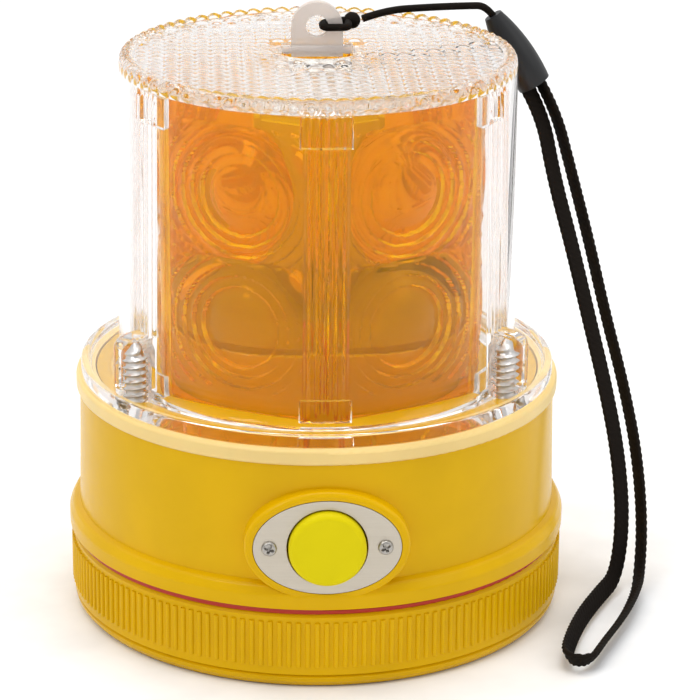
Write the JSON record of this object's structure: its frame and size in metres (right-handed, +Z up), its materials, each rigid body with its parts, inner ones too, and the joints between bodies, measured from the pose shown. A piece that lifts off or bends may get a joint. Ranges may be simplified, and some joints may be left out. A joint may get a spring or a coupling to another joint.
{
  "type": "magnetic warning light",
  "caption": "Battery-powered warning light: yellow round housing with screw-on magnetic battery cap, push button, clear ribbed lens over an amber optic, hang loop and wrist lanyard.",
  "frame": {"origin": "centre of the base pad's underside, the face the light stands on", "axes": "+Z up along the light's axis, -Y out through the push button, +X to the right as seen from the button"},
  "size_m": [0.1285, 0.1103, 0.1315],
  "materials": {
    "yellow_plastic": "satin moulded",
    "button_rubber": "finely textured",
    "brushed_steel": "brushed",
    "screw_steel": "bright zinc",
    "magnet_ceramic": "matte",
    "black_rubber": "matte",
    "red_rubber": "matte",
    "milky_rubber": "translucent",
    "clear_plastic": "clear",
    "milky_plastic": "translucent",
    "amber_plastic": "clear",
    "white_plastic": "gloss",
    "black_plastic": "matte",
    "circuit_board": "solder mask",
    "white_board": "white solder mask",
    "led": "clear dome",
    "cell_jacket": "printed foil, plain",
    "contact_metal": "nickel plated",
    "wire": "insulation",
    "black_cord": "braided"
  },
  "bodies": {
    "housing": {"housing": "yellow_plastic", "battery_holder": "white_plastic", "holder_screws": "screw_steel", "cells": "cell_jacket", "cell_contacts": "contact_metal", "control_board": "white_board", "control_board_screws": "screw_steel", "control_chip": "black_plastic", "capacitor": "black_plastic", "light_sensor": "led", "led_tower": "white_plastic", "led_boards": "white_board", "lower_leds": "led", "upper_leds": "led", "tower_cap": "white_plastic", "tact_switch": "black_plastic", "switch_board": "circuit_board", "switch_board_screws": "screw_steel", "switch_wires": "wire", "switch_plate": "brushed_steel", "plate_screws": "screw_steel", "lens_gasket": "milky_rubber", "outer_lens": "clear_plastic", "lens_screws": "screw_steel", "amber_optic": "amber_plastic", "hang_pin": "milky_plastic", "lanyard_cord": "black_cord", "lanyard_sleeve": "black_rubber", "wrist_strap": "black_cord"},
    "seal": {"cap_seal": "red_rubber"},
    "cap": {"battery_cap": "yellow_plastic", "base_pad": "black_rubber", "magnet": "magnet_ceramic", "magnet_keeper": "screw_steel", "magnet_screws": "screw_steel", "contact_board": "circuit_board", "contact_board_screw": "screw_steel", "cell_springs": "contact_metal"},
    "button": {"push_button": "button_rubber", "switch_plunger": "black_plastic"},
    "hang_loop": {"hang_loop": "milky_plastic", "lanyard_hitch": "black_cord"}
  },
  "joints": [
    {"name": "cap_travel", "type": "slide", "parent": "housing", "child": "seal", "axis": [0, 0, -1], "range_m": [0, 0.012]},
    {"name": "cap_twist", "type": "hinge", "parent": "seal", "child": "cap", "pos_m": [0, 0, 0], "axis": [0, 0, -1], "range_deg": [0, 360]},
    {"name": "button_press", "type": "slide", "parent": "housing", "child": "button", "axis": [0, 1, 0], "range_m": [0, 0.0012], "stiffness_N_per_m": 2500, "springref_m": -0.0004},
    {"name": "loop_fold", "type": "hinge", "parent": "housing", "child": "hang_loop", "pos_m": [0, 0.007, 0.121], "axis": [1, 0, 0], "range_deg": [0, 90]}
  ],
  "couplings": [
    {"joint": "cap_travel", "follows": "cap_twist", "m_per_rad": 0.0019099}
  ]
}
